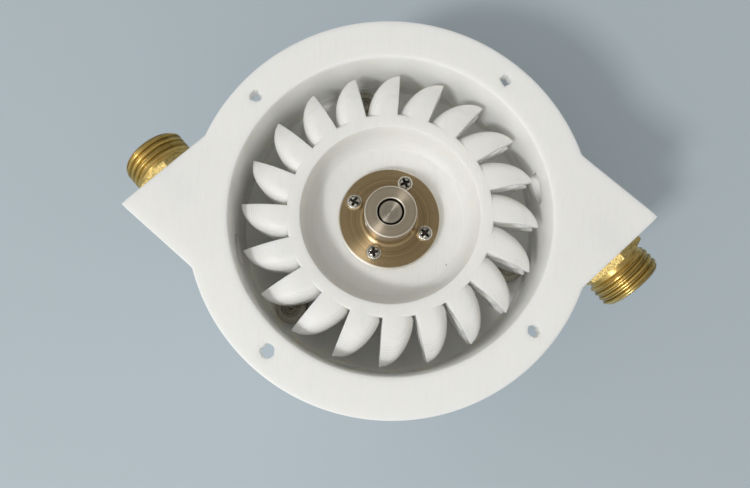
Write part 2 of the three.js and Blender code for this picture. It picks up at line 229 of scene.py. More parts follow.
class Shader:
    def __init__(self, tree):
        self.tree = tree

    def link(self, source, socket):
        self.tree.links.new(source, socket)

    def add(self, kind, inputs=None, **settings):
        node = self.tree.nodes.new(kind)
        for name, value in settings.items():
            setattr(node, name, value)
        for name, value in (inputs or {}).items():
            if isinstance(value, bpy.types.NodeSocket):
                self.link(value, node.inputs[name])
            else:
                node.inputs[name].default_value = value
        return node

    def group(self, name, **inputs):
        return self.add("ShaderNodeGroup", inputs, node_tree=bpy.data.node_groups[name]).outputs

    def coordinates(self, kind):
        return self.add("ShaderNodeTexCoord").outputs[kind]

    # Every piece keeps its own millimetres, taken before it is set in place, in this attribute
    def ownPlace(self):
        return self.add("ShaderNodeAttribute", attribute_name="ownPlace").outputs["Vector"]

    def math(self, operation, first, second=0.0, third=0.0):
        return self.add("ShaderNodeMath", {0: first, 1: second, 2: third}, operation=operation).outputs[0]

    def wave(self, turns):
        return self.math("SINE", self.math("MULTIPLY", turns, 2 * math.pi))

    # How far a value is from a middle, either way
    def away(self, value, middle):
        return self.math("ABSOLUTE", self.math("SUBTRACT", value, middle))

    def ramp(self, value, low, high):
        return self.add("ShaderNodeMapRange", {0: value, 1: low, 2: high}).outputs[0]

    def span(self, value, low, high, newLow=0.0, newHigh=1.0):
        inputs = {0: value, 1: low, 2: high, 3: newLow, 4: newHigh}
        return self.add("ShaderNodeMapRange", inputs, interpolation_type="SMOOTHSTEP").outputs[0]

    def noise(self, place, scale, detail=2.0, roughness=0.5):
        inputs = {"Vector": place, "Scale": scale, "Detail": detail, "Roughness": roughness}
        return self.add("ShaderNodeTexNoise", inputs).outputs["Fac"]

    def split(self, vector):
        return self.add("ShaderNodeSeparateXYZ", {0: vector}).outputs

    def point(self, x, y, z):
        return self.add("ShaderNodeCombineXYZ", {0: x, 1: y, 2: z}).outputs[0]

    def radius(self, x, y):
        flat = self.point(x, y, 0.0)
        return self.add("ShaderNodeVectorMath", {0: flat}, operation="LENGTH").outputs["Value"]

    # Noise drawn out along printed lines, one part of the spot being the line's number
    def streak(self, spot, scale):
        stretched = self.add("ShaderNodeVectorMath", {0: self.point(*spot), 1: scale}, operation="MULTIPLY")
        return self.noise(stretched.outputs[0], 1.0, 2)

    def mix(self, share, first, second):
        return self.add("ShaderNodeMix", {0: share, 2: first, 3: second}).outputs[0]

    def mixColour(self, share, first, second):
        return self.add("ShaderNodeMix", {0: share, 6: first, 7: second}, data_type="RGBA").outputs[2]

    # A colour under another one, which shows where the mask is, up to a share
    def cover(self, colour, mask, share, other):
        return self.mixColour(self.math("MULTIPLY", mask, share), colour, other)

    def bump(self, height, distance, strength=1.0, normal=None):
        inputs = {"Height": height, "Distance": distance, "Strength": strength}
        if normal is not None:
            inputs["Normal"] = normal
        return self.add("ShaderNodeBump", inputs).outputs[0]

    def surface(self, sockets, colour, roughness, normal):
        for name, source in (("Base Color", colour), ("Roughness", roughness), ("Normal", normal)):
            self.link(source, sockets[name])


# A group takes vectors, then numbers with their usual values, and puts out numbers
def newGroup(name, numbers, results, vectors=("Place",)):
    tree = bpy.data.node_groups.new(name, "ShaderNodeTree")
    for socketName in vectors:
        tree.interface.new_socket(socketName, in_out="INPUT", socket_type="NodeSocketVector")
    for socketName, value in numbers.items():
        socket = tree.interface.new_socket(socketName, in_out="INPUT", socket_type="NodeSocketFloat")
        socket.default_value = value
    for socketName in results:
        tree.interface.new_socket(socketName, in_out="OUTPUT", socket_type="NodeSocketFloat")
    shader = Shader(tree)
    return shader, shader.add("NodeGroupInput").outputs, shader.add("NodeGroupOutput").inputs


# Printed layers: fine ridges up the side walls, and the raster of the last pass on flat tops
def makePrintLayers():
    shader, given, result = newGroup("printLayers", {"Layer": 0.3, "Raster": 0.7, "Loop": 20.0},
                                     ["Height", "Lines"], vectors=["Place", "Facing"])
    x, y, z = shader.split(given["Place"])
    wobble = shader.noise(given["Place"], 0.25, 3)
    layerTurn = shader.math("DIVIDE", shader.math("MULTIPLY_ADD", wobble, 0.12, z), given["Layer"])
    layerWave = shader.wave(layerTurn)
    streak = shader.streak((x, y, shader.math("FLOOR", layerTurn)), (0.12, 0.12, 7.3))
    layers = shader.math("MULTIPLY_ADD", shader.math("SUBTRACT", streak, 0.5), 1.6, layerWave)
    rasterTurn = shader.math("DIVIDE", shader.math("MULTIPLY_ADD", wobble, 0.2, x), given["Raster"])
    rasterWave = shader.wave(rasterTurn)
    rasterStreak = shader.streak((shader.math("FLOOR", rasterTurn), y, z), (3.7, 0.09, 1.0))
    raster = shader.math("MULTIPLY_ADD", shader.math("SUBTRACT", rasterStreak, 0.5), 2.0, rasterWave)
    # Three loops follow the round inner edge of a flat top
    pastLoop = shader.math("SUBTRACT", shader.radius(x, y), given["Loop"])
    looped = shader.math("LESS_THAN", shader.away(pastLoop, 0.8), 0.8)
    flatTop = shader.mix(looped, raster, shader.wave(shader.math("DIVIDE", pastLoop, 0.53)))
    facingUp = shader.math("ABSOLUTE", shader.split(given["Facing"])[2])
    top = shader.span(facingUp, 0.98, 0.997)
    layers = shader.math("MULTIPLY", layers, shader.span(facingUp, 0.6, 0.95, 1.0, 0.35))
    shader.link(shader.mix(top, layers, shader.math("MULTIPLY", flatTop, 0.5)), result["Height"])
    # Contour lines where a rounded top steps down
    contours = shader.math("MULTIPLY", shader.span(facingUp, 0.975, 0.91), shader.span(facingUp, 0.15, 0.4))
    contours = shader.math("MULTIPLY", contours, shader.span(layerWave, 0.2, 0.9))
    sideLines = shader.math("MULTIPLY_ADD", shader.span(streak, 0.55, 0.75), 0.4, contours)
    rasterLines = shader.math("MULTIPLY", shader.span(rasterStreak, 0.5, 0.75), 0.3)
    shader.link(shader.mix(top, sideLines, rasterLines), result["Lines"])


# Mottling and a fine tooth
def makeFineGrain():
    shader, given, result = newGroup("fineGrain", {"Patch": 0.05, "Tooth": 3.0}, ["Tone", "Height"])
    patches = shader.noise(given["Place"], given["Patch"], 4, 0.6)
    shader.link(shader.span(patches, 0.3, 0.7), result["Tone"])
    shader.link(shader.noise(given["Place"], given["Tooth"], 2, 0.7), result["Height"])


# Rubbed or chipped edges, partly painted highlights along sharp edges, broken up by noise
def makeEdgeWearAndHighlight():
    shader, given, result = newGroup("edgeWearAndHighlight", {"Start": 0.53, "Full": 0.62}, ["Mask"])
    sharpness = shader.add("ShaderNodeNewGeometry").outputs["Pointiness"]
    broken = shader.math("SUBTRACT", shader.noise(given["Place"], 1.3, 3, 0.7), 0.5)
    shifted = shader.math("MULTIPLY_ADD", broken, 0.08, sharpness)
    shader.link(shader.ramp(shifted, given["Start"], given["Full"]), result["Mask"])


# Small specks, some of the cells of a Voronoi pattern
def makeSpecks():
    shader, given, result = newGroup("specks", {"Scale": 0.5, "Size": 0.12, "Share": 0.1}, ["Mask"])
    cells = shader.add("ShaderNodeTexVoronoi", {"Vector": given["Place"], "Scale": given["Scale"]})
    chosen = shader.math("LESS_THAN", shader.split(cells.outputs["Color"])[0], given["Share"])
    close = shader.math("LESS_THAN", cells.outputs["Distance"], given["Size"])
    shader.link(shader.math("MULTIPLY", chosen, close), result["Mask"])


# Marks of a lathe tool: rings about the piece's own axis, and how bright each ring is
def makeTurnedRings():
    shader, given, result = newGroup("turnedRings", {"Pitch": 0.2}, ["Height", "Tone", "Radius"])
    x, y, z = shader.split(given["Place"])
    radius = shader.radius(x, y)
    travel = shader.math("ADD", radius, z)
    coarse = shader.noise(shader.point(travel, 0.0, 0.0), 1.6, 3, 0.7)
    wave = shader.wave(shader.math("DIVIDE", travel, given["Pitch"]))
    shader.link(shader.math("MULTIPLY_ADD", coarse, 1.5, wave), result["Height"])
    shader.link(shader.span(coarse, 0.3, 0.7), result["Tone"])
    shader.link(radius, result["Radius"])


# Dirt and oil in broad soft patches
def makeGrime():
    shader, given, result = newGroup("grime", {"Scale": 0.3, "Amount": 0.5}, ["Mask"])
    patches = shader.noise(given["Place"], given["Scale"], 5, 0.65)
    low = shader.math("SUBTRACT", 1.0, given["Amount"])
    shader.link(shader.ramp(patches, low, shader.math("ADD", low, 0.35)), result["Mask"])


makePrintLayers()
makeFineGrain()
makeEdgeWearAndHighlight()
makeSpecks()
makeTurnedRings()
makeGrime()
print("shader groups made")


def newMaterial(name, **fixed):
    material = bpy.data.materials.new(name)
    material.use_nodes = True
    sockets = material.node_tree.nodes["Principled BSDF"].inputs
    for socketName, value in fixed.items():
        sockets[socketName.replace("_", " ")].default_value = value
    return material, Shader(material.node_tree), sockets


def shaded(colour, shade):
    return [min(channel * shade, 1) for channel in colour[:3]] + [1]


plasticLook = {
    "white": (0.94, 0.93, 0.895, 1), "cool": (0.915, 0.915, 0.89, 1), "line": (0.64, 0.64, 0.61, 1),
    "speck": (0.1, 0.1, 0.09, 1), "layerDepth": 0.00002, "toothDepth": 0.000008,
    "glow": 0.8, "glowDepth": 0.003, "glowRadius": (1, 0.95, 0.85),
}


def printedPlastic(name, layer, raster, loop, lineShare, shade):
    look = plasticLook
    material, shader, sockets = newMaterial(
        name, IOR=1.46, Subsurface_Weight=look["glow"], Subsurface_Scale=look["glowDepth"],
        Subsurface_Radius=look["glowRadius"])
    own = shader.ownPlace()
    layers = shader.group("printLayers", Place=own, Facing=shader.coordinates("Normal"), Layer=layer,
                          Raster=raster, Loop=loop)
    grain = shader.group("fineGrain", Place=own)
    specks = shader.group("specks", Place=own, Scale=0.22, Size=0.05, Share=0.05)
    colour = shader.mixColour(grain["Tone"], shaded(look["white"], shade), shaded(look["cool"], shade))
    colour = shader.cover(colour, layers["Lines"], lineShare, look["line"])
    colour = shader.cover(colour, specks["Mask"], 0.7, look["speck"])
    roughness = shader.math("MULTIPLY_ADD", grain["Height"], 0.25, 0.3)
    tooth = shader.bump(grain["Height"], look["toothDepth"])
    normal = shader.bump(layers["Height"], look["layerDepth"], normal=tooth)
    shader.surface(sockets, colour, roughness, normal)
    return material


# Lathe marks have a pitch in millimetres and a depth in metres; the streak draws highlights out
metalLooks = {
    "nickelPlate": {"bright": (0.52, 0.375, 0.195, 1), "dull": (0.25, 0.175, 0.09, 1), "shine": 0.34,
                    "pitch": 0.5, "depth": 0.000016, "streak": 0.85},
    "brightSteel": {"bright": (0.72, 0.69, 0.62, 1), "dull": (0.5, 0.47, 0.4, 1), "shine": 0.18,
                    "pitch": 0.3, "depth": 0.000006, "streak": 0.2},
    "shaftSteel": {"bright": (0.52, 0.46, 0.37, 1), "dull": (0.34, 0.29, 0.23, 1), "shine": 0.34,
                   "pitch": 0.4, "depth": 0.000006, "streak": 0.9},
    "boltMetal": {"bright": (0.4, 0.38, 0.31, 1), "dull": (0.09, 0.083, 0.065, 1), "shine": 0.32,
                  "pitch": 0.45, "depth": 0.000012, "streak": 0.5},
    "aluminium": {"bright": (0.7, 0.71, 0.72, 1), "dull": (0.58, 0.59, 0.6, 1), "shine": 0.34,
                  "pitch": 0.5, "depth": 0.000006, "streak": 0.5},
}
# Wear colours, with the painted shade and painted ring highlights among them
wearAndLightLook = {
    "paintedShade": (0.012, 0.01, 0.008, 1), "paintedRingHighlight": (1, 0.97, 0.88, 1), "soiled": 0.25, "worn": 1.25,
    "greyBright": (0.62, 0.54, 0.43, 1), "greyDull": (0.4, 0.34, 0.26, 1), "toothDepth": 0.000018,
}


# Painted highlights at each ring of [radius, half width], painted shade between two radii, greyer within a
# radius
def turnedMetal(name, highlightRings=(), shadeBand=None, greyWithin=None):
    look, wearAndLight = metalLooks[name], wearAndLightLook
    material, shader, sockets = newMaterial(name, Metallic=1.0, Anisotropic=look["streak"],
                                            Anisotropic_Rotation=0.25)
    own = shader.ownPlace()
    rings = shader.group("turnedRings", Place=own, Pitch=look["pitch"])
    grain = shader.group("fineGrain", Place=own, Patch=0.3, Tooth=5.0)
    grime = shader.group("grime", Place=own, Scale=0.4, Amount=0.42)
    edge = shader.group("edgeWearAndHighlight", Place=own, Start=0.52, Full=0.6)
    colour = shader.mixColour(rings["Tone"], look["bright"], look["dull"])
    colour = shader.cover(colour, grime["Mask"], 0.3, shaded(look["dull"], wearAndLight["soiled"]))
    # Sharp edges lighter: partly rubbed wear, partly a painted highlight
    colour = shader.cover(colour, edge["Mask"], 0.7, shaded(look["bright"], wearAndLight["worn"]))
    if greyWithin:
        inside = shader.span(rings["Radius"], greyWithin - 0.1, greyWithin, 1.0, 0.0)
        grey = shader.mixColour(rings["Tone"], wearAndLight["greyBright"], wearAndLight["greyDull"])
        colour = shader.cover(colour, inside, 0.75, grey)
    paintedRingHighlight = 0.0
    # Painted highlights: bright rings along chamfered edges, standing in for the light they catch
    for centre, half in highlightRings:
        fromRing = shader.away(rings["Radius"], centre)
        paintedRingHighlight = shader.math("ADD", paintedRingHighlight, shader.span(fromRing, 0.6 * half, half, 0.9, 0.0))
    if highlightRings:
        colour = shader.mixColour(paintedRingHighlight, colour, wearAndLight["paintedRingHighlight"])
    # Painted shade: near black between two radii, in a bore and in the gap round the shaft
    if shadeBand:
        middle, reach = sum(shadeBand) / 2, (shadeBand[1] - shadeBand[0]) / 2
        within = shader.span(shader.away(rings["Radius"], middle), reach - 0.06, reach, 0.95, 0.0)
        colour = shader.mixColour(within, colour, wearAndLight["paintedShade"])
    roughness = shader.math("MULTIPLY_ADD", grime["Mask"], 0.18, look["shine"])
    roughness = shader.math("MULTIPLY_ADD", paintedRingHighlight, 0.4, roughness)
    tooth = shader.bump(grain["Height"], wearAndLight["toothDepth"])
    shader.surface(sockets, colour, roughness, shader.bump(rings["Height"], look["depth"], normal=tooth))
    shader.link(tangentRound(shader, own), sockets["Tangent"])
    return material


# Lathe marks run round the piece's axis, so highlights are drawn out along them
def tangentRound(shader, own):
    x, y, z = shader.split(own)
    around = shader.point(shader.math("MULTIPLY", y, -1.0), x, 0.0)
    return shader.add("ShaderNodeVectorTransform", {0: around}, vector_type="VECTOR",
                      convert_from="OBJECT", convert_to="WORLD").outputs[0]


# A finished piece: its own millimetres kept, set in place, in metres, on its body
def finishPiece(piece, name, material, body, replaces, matrix=Matrix()):
    piece.name = name
    piece.data.name = name
    attribute = piece.data.attributes.new("ownPlace", "FLOAT_VECTOR", "POINT")
    for vertex, stored in zip(piece.data.vertices, attribute.data):
        stored.vector = vertex.co
    place(piece, Matrix.Scale(millimetre, 4) @ matrix)
    pick(piece)
    bpy.ops.object.shade_smooth_by_angle(angle=math.radians(smoothAngle))
    modify(piece, "WEIGHTED_NORMAL", keep_sharp=True)
    piece.data.materials.clear()
    piece.data.materials.append(material)
    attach(piece, body)
    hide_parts(*replaces)


# Copies of one model, each for the node of its number; a copy may be turned about its own axis first
def finishCopies(model, name, material, body, node, matrices, firstTurn=0, nextTurn=0):
    for order, matrix in enumerate(matrices):
        copied = place(copyOf(model), turned(firstTurn + nextTurn * order))
        number = str(order + 1)
        finishPiece(copied, name + "." + number, material, body, [node + number], matrix)
    bpy.data.objects.remove(model)


# Camera at the photograph's viewpoint

cameraSizes = {
    "place": (-6.6, -37.93, 248.56), "turn": (9.109, -0.895, 1.229), "lens": 28.8, "sensor": 36, "near": 10,
}


def addCamera():
    deselectAll()
    bpy.ops.object.camera_add(
        location=[value * millimetre for value in cameraSizes["place"]],
        rotation=[math.radians(value) for value in cameraSizes["turn"]])
    camera = bpy.context.object
    camera.data.lens = cameraSizes["lens"]
    camera.data.sensor_width = cameraSizes["sensor"]
    camera.data.clip_start = cameraSizes["near"] * millimetre
    scene.camera = camera


addCamera()
print("camera set")


# Housing: flange, drum, chamber, two nozzle ears

boltSizes = {
    "circle": 41.65, "phase": 102.1, "headRadius": 5.1, "headHeight": 4, "headEdge": 0.45,
    "shankRadius": 2.5, "reach": 7.4, "stepRadius": 2.95, "stepDepth": 0.3,
    "rings": [(2.3, 0.05), (2.2, -0.1), (2.05, 0), (1.45, 0.08), (1.35, -0.08), (1.2, 0), (1.02, 0.05)],
    "dimpleRadius": 0.9, "dimpleDepth": 0.55,
}
chamberFloor = heights("housing_bolt_1")[1] - boltSizes["headHeight"]
boltSpots = spotsRound(3, boltSizes["circle"], boltSizes["phase"], chamberFloor)
housingBottom, housingTop = heights("housing")
housingSizes = {
    "flangeRadius": 60, "flangeThickness": 4, "flangeEdge": 0.3, "lowEdge": 0.4, "drumRadius": 51,
    "chamberRadius": 48, "chamberEdge": 0.55, "wallStepHeight": 4.2, "wallStep": 0.15, "cornerRound": 0.9,
    "earReach": 79.2, "earBlunt": 0.25, "earSpan": 30, "earBand": 1.5, "drumBand": 0.5,
    "fittingEdge": 42.9, "backEdge": 39.7, "fittingFromTip": 15.6, "nozzleDrop": 12.3,
    "socketRadius": 10.2, "socketDepth": 12, "coneLength": 12, "waterRadius": 7.5, "jetRadius": 3.5,
    "jetReach": 34, "shaftHole": 6.5, "boltHole": 2.8, "holeCircle": 53.9, "holePhase": 50.4,
    "biteWidth": 22,
}
# Each flange hole is ragged in its own way: corners, roughness, and bites at an angle with a depth
flangeHoles = [
    {"radius": 1.8, "corners": 4, "cornerShare": 0.09, "rough": 0.09, "bites": [(200, 0.35)], "seed": 0.4},
    {"radius": 1.9, "corners": 3, "cornerShare": 0.05, "rough": 0.06, "bites": [(40, 0.7)], "seed": 2.1},
    {"radius": 2.15, "corners": 5, "cornerShare": 0.02, "rough": 0.03, "bites": [(135, 0.5)], "seed": 3.7},
    {"radius": 1.9, "corners": 3, "cornerShare": 0.06, "rough": 0.07, "bites": [(20, 0.5), (250, 0.35)],
     "seed": 5.2},
]


def raggedHole(centre, shape, bottom, top):
    seed = shape["seed"]
    points = []
    for degrees in range(0, 360, 10):
        angle = math.radians(degrees)
        radius = shape["radius"] * (1 + shape["cornerShare"] * math.cos(shape["corners"] * angle + seed))
        for ripples, shift in ((7, 3), (11, 5)):
            radius += shape["rough"] * math.sin(ripples * angle + seed * shift)
        for biteAngle, depth in shape["bites"]:
            away = (degrees - biteAngle + 180) % 360 - 180
            radius -= depth * math.exp(-(away / housingSizes["biteWidth"]) ** 2)
        points.append((centre.x + radius * math.cos(angle), centre.y + radius * math.sin(angle)))
    return prism(points, bottom, top)


# How far the left ear's slanted edge lies from the axis, at an angle above or below its line
def earRadius(degrees):
    edge = housingSizes["fittingEdge"] if degrees > 0 else housingSizes["backEdge"]
    far = math.radians(180 - abs(degrees) - edge)
    return housingSizes["earReach"] * math.sin(math.radians(edge)) / math.sin(far)


# From a piece's own axis to the axis of the left fitting, base on the ear's slanted face
def fittingPlace():
    sizes = housingSizes
    angle = math.radians(sizes["fittingEdge"])
    outward = Vector((-math.sin(angle), math.cos(angle), 0))
    up = Vector((0, 0, 1))
    matrix = Matrix((up.cross(outward), up, outward)).transposed().to_4x4()
    fromTip = sizes["fittingFromTip"]
    matrix.translation = (-sizes["earReach"] + fromTip * math.cos(angle), fromTip * math.sin(angle),
                          housingTop - sizes["nozzleDrop"])
    return matrix


# The outer columns near the line of the ears are drawn out to the ears' slanted faces
def drawOutEars(piece, under):
    sizes = housingSizes
    flange, drum, near = sizes["flangeRadius"], sizes["drumRadius"], 0.1
    for vertex in piece.data.vertices:
        x, y, z = vertex.co
        radius = math.hypot(x, y)
        degrees = math.degrees(math.atan2(y, x))
        fromEar = math.copysign(180 - abs(degrees), degrees) if x < 0 else -degrees
        reach = min(earRadius(fromEar), sizes["earReach"] - sizes["earBlunt"])
        onDrum = radius > drum - sizes["drumBand"] and z < under + near
        isOuter = radius > flange - sizes["earBand"] or onDrum
        if not isOuter or abs(fromEar) > sizes["earSpan"] or reach <= flange:
            continue
        inset = flange - radius if z > under + near else 0 if z > under - near else drum - radius
        vertex.co.x *= (reach - inset) / radius
        vertex.co.y *= (reach - inset) / radius
    tidyMesh(piece)


def makeHousing():
    sizes = housingSizes
    flange, drum, chamber = sizes["flangeRadius"], sizes["drumRadius"], sizes["chamberRadius"]
    under = housingTop - sizes["flangeThickness"]
    low, rim, edge = sizes["lowEdge"], sizes["flangeEdge"], sizes["chamberEdge"]
    step, corner, hole = sizes["wallStep"], sizes["cornerRound"], sizes["shaftHole"]
    stepTop, wall = chamberFloor + sizes["wallStepHeight"], chamber - step
    # Points a little way off an edge keep its shading narrow
    piece = lathe([
        (hole, housingBottom), (drum - low, housingBottom), (drum, housingBottom + low),
        (drum, under), (flange - low, under), (flange, under + low),
        (flange, housingTop - 1), (flange, housingTop - rim), (flange - rim / 3, housingTop - rim / 3),
        (flange - rim, housingTop), (flange - 1, housingTop),
        (chamber + edge + 0.8, housingTop), (chamber + edge, housingTop),
        (chamber + 0.3 * edge, housingTop - 0.3 * edge), (chamber, housingTop - edge),
        (chamber, housingTop - 1.5), (chamber, stepTop + step + 0.5), (chamber, stepTop + step),
        (wall, stepTop), (wall, chamberFloor + corner), (wall - 0.3 * corner, chamberFloor + 0.3 * corner),
        (wall - corner, chamberFloor), (chamber - 4, chamberFloor),
        (hole + rim, chamberFloor), (hole, chamberFloor - rim),
    ], sides=360, ring=True)
    drawOutEars(piece, under)
    jet, water, socket = sizes["jetRadius"], sizes["waterRadius"], sizes["socketRadius"]
    waterWay = lathe([(0, -sizes["jetReach"]), (jet, -sizes["jetReach"]),
                      (jet, -sizes["socketDepth"] - sizes["coneLength"]), (water, -sizes["socketDepth"]),
                      (socket, -sizes["socketDepth"]), (socket, past), (0, past)], sides=48)
    place(waterWay, fittingPlace())
    otherWay = place(copyOf(waterWay), turned(180))
    cut(piece, waterWay, otherWay)
    drill(piece, boltSpots, sizes["boltHole"], housingBottom, chamberFloor)
    for spot, shape in zip(spotsRound(4, sizes["holeCircle"], sizes["holePhase"]), flangeHoles):
        cut(piece, raggedHole(spot, shape, chamberFloor, housingTop + past))
    return piece


plastic = printedPlastic("housingPlastic", layer=0.32, raster=0.7, lineShare=0.25, shade=1,
                         loop=housingSizes["chamberRadius"] + 0.5)
finishPiece(makeHousing(), "printedHousing", plastic, "root", ["housing"])
print("housing made")


# Bucket wheel: rim with a deep dish, and twenty double buckets, and where its coupling is screwed on

couplingBottom, bossTop = heights("shaft_coupling")
screwSizes = {
    "circle": 12, "phase": 67, "hole": 1.6, "headRadius": 2.45, "headHeight": 1.5, "headEdge": 0.06,
    "skirt": 0.3, "domeSteps": 8, "domeAcross": 0.8, "domeUp": 0.75, "shankRadius": 1.3, "reach": 8,
    "recessLength": 4, "recessWidth": 1.2, "recessDepth": 0.95, "recessTaper": 0.55,
    "firstTurn": 25, "nextTurn": 37,
}
screwSpots = spotsRound(4, screwSizes["circle"], screwSizes["phase"])
wheelSizes = {
    "below": 4, "height": 16.6, "count": 20, "phase": 14.9, "tipRadius": 45.6, "rootRadius": 31.3,
    "depth": 9.5, "tipDepth": 0.7, "roundness": 1.85, "tipHalfWidth": 4.2, "widthRoundness": 2.4,
    "backAcross": 0.6, "backDeep": 0.34, "sunkDepth": 0.85, "groove": 0.2, "grooveWidth": 0.22,
    "topDrop": 0.01, "faceEdge": 0.2, "tipRound": 0.22, "tipScale": (1, 0.5, 0.93),
    "shares": [1.2, 1.0, 0.9, 0.8, 0.7, 0.6, 0.5, 0.4, 0.31, 0.23, 0.16, 0.1, 0.055, 0.02, 0],
    "cup": {"fromAxis": 37.7, "fromMiddle": 3.6, "length": 4.9, "depth": 3, "width": 2.6},
    "notchRadius": 2.6, "notchReach": 41.2, "notchLength": 5, "hubHole": 4.3,
    "rimInner": 27.2, "rimEdge": 0.4, "innerEdge": 0.12, "dishFloor": 22.8, "dishDraft": 0.4,
    "dishRound": 0.62,
}
wheelTop = housingTop - wheelSizes["below"]
wheelBottom = wheelTop - wheelSizes["height"]
wheelMiddle = (wheelBottom + wheelTop) / 2


# A bucket's depth and half width, at a share of the way from its tip to the rim
def bucketDepth(share):
    sizes = wheelSizes
    tip, power = sizes["tipDepth"], sizes["roundness"]
    reach = max(1 - share, 0) ** power
    depth = tip + (sizes["depth"] - tip) * (1 - reach) ** (1 / power)
    return depth * (sizes["sunkDepth"] if share > 1 else 1)


def bucketHalfWidth(share):
    sizes = wheelSizes
    full = sizes["height"] / 2 - sizes["topDrop"]
    return full - (full - sizes["tipHalfWidth"]) * max(1 - share, 0) ** sizes["widthRoundness"]


# Outline of the cut across a bucket: straight face, flat top, back that rolls to a groove
def bucketSection():
    sizes = wheelSizes
    points = [(0, 0.0)]
    steps = 14
    for step in range(2 * steps + 1):
        angle = math.pi / 2 * (1 - step / steps)
        width = math.copysign(abs(math.sin(angle)) ** sizes["backAcross"], angle)
        depth = max(math.cos(angle), 0) ** sizes["backDeep"]
        depth *= 1 - sizes["groove"] * math.exp(-(width / sizes["grooveWidth"]) ** 2)
        points.append((depth, width))
    return points


def makeBucket():
    sizes, cup = wheelSizes, wheelSizes["cup"]
    shares = sizes["shares"]
    alongs = [sizes["tipRadius"] - share * (sizes["tipRadius"] - sizes["rootRadius"]) for share in shares]
    depth, width = bucketDepth(shares[0]), bucketHalfWidth(shares[0])
    piece = drawOutline([(alongs[0], y * depth, wheelMiddle + z * width) for y, z in bucketSection()])
    editAll(piece)
    for share, before, here in zip(shares[1:], alongs, alongs[1:]):
        nextDepth, nextWidth = bucketDepth(share), bucketHalfWidth(share)
        bpy.ops.mesh.extrude_region_move(TRANSFORM_OT_translate={"value": (here - before, 0, 0)})
        bpy.ops.transform.resize(value=(1, nextDepth / depth, nextWidth / width),
                                 center_override=(here, 0, wheelMiddle))
        depth, width = nextDepth, nextWidth
    bpy.ops.mesh.extrude_region_move(TRANSFORM_OT_translate={"value": (sizes["tipRound"], 0, 0)})
    bpy.ops.transform.resize(value=sizes["tipScale"], center_override=(alongs[-1], depth / 2, wheelMiddle))
    bpy.ops.mesh.select_all(action="SELECT")
    bpy.ops.mesh.normals_make_consistent(inside=False)
    bpy.ops.mesh.select_all(action="DESELECT")
    endEdit()
    # The two long edges of the face
    for edge in piece.data.edges:
        ends = [piece.data.vertices[index].co for index in edge.vertices]
        edge.select = all(end.y < 0.01 and abs(end.z - wheelMiddle) > 3 for end in ends)
    startEdit(piece)
    bpy.ops.mesh.bevel(offset=sizes["faceEdge"], segments=2, clamp_overlap=False)
    endEdit()
    for side in (-1, 1):
        deselectAll()
        bpy.ops.mesh.primitive_uv_sphere_add(
            segments=32, ring_count=16, radius=1, scale=(cup["length"], cup["depth"], cup["width"]),
            location=(cup["fromAxis"], 0, wheelMiddle + side * cup["fromMiddle"]))
        cut(piece, settled())
    notch, across = sizes["notchRadius"], 3 * sizes["depth"]
    centre = sizes["notchReach"] + notch
    notchEnd = rod(notch, -across / 2, across / 2)
    place(notchEnd, Matrix.Translation((centre, 0, wheelMiddle)) @ turned(90, "X"))
    length = sizes["notchLength"]
    cut(piece, notchEnd, box((length, across, 2 * notch), (centre + length / 2, 0, wheelMiddle)))
    return piece


def makeWheel():
    sizes = wheelSizes
    outer, inner, edge = sizes["rootRadius"], sizes["rimInner"], sizes["rimEdge"]
    floor, hole, innerEdge = sizes["dishFloor"], sizes["hubHole"], sizes["innerEdge"]
    rise = (wheelTop - couplingBottom) * sizes["dishRound"]
    profile = [(hole, wheelBottom), (outer - edge, wheelBottom), (outer, wheelBottom + edge),
               (outer, wheelTop - edge), (outer - edge, wheelTop), (inner + edge, wheelTop),
               (inner + innerEdge, wheelTop - innerEdge), (inner, wheelTop - edge)]
    profile += arc((floor, couplingBottom + rise), inner - sizes["dishDraft"] - floor, rise, 0, -90, 12)
    hub = lathe(profile + [(hole, couplingBottom)], sides=200, ring=True)
    first = makeBucket()
    buckets = [place(copyOf(first), turned(sizes["phase"] + turn * 360 / sizes["count"]))
               for turn in range(sizes["count"])]
    bpy.data.objects.remove(first)
    combine(hub, joined(*buckets), "UNION")
    drill(hub, screwSpots, screwSizes["hole"], wheelBottom, couplingBottom, sides=20)
    return hub


# Painted shade: the wheel's plastic is the housing's white, 4% darker
wheelPlastic = printedPlastic("wheelPlastic", layer=0.3, raster=0.55, lineShare=0.5, shade=0.96,
                              loop=wheelSizes["rimInner"] + 0.2)
wheelNodes = [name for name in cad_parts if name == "wheel_rim" or name.startswith("bucket_")]
finishPiece(makeWheel(), "bucketWheel", wheelPlastic, "rotor", wheelNodes)
print("bucket wheel made")


# Shaft coupling: flange with four screws, boss with two grub screws

couplingSizes = {
    "radius": 16, "thickness": 2.8, "bossRadius": 7.9, "fillet": 1.8, "bore": 4.05, "boreEdge": 0.3,
    "edge": 0.38,
}
grubSizes = {
    "angles": (205, 115), "above": 5.2, "hole": 2, "radius": 1.8, "outer": 7.4, "inner": 4.4, "edge": 0.25,
    "socket": 1.8, "socketDepth": 1.6,
}
shaftSizes = {
    "radius": 4, "flat": 3.35, "lowEdge": 0.4, "topEdge": 0.6, "centreRadius": 1.1, "centreDepth": 0.35,
}
couplingTop = couplingBottom + couplingSizes["thickness"]


def grubPlace(degrees):
    upright = Matrix.Translation((0, 0, couplingTop + grubSizes["above"]))
    return upright @ turned(degrees) @ turned(90, "Y")


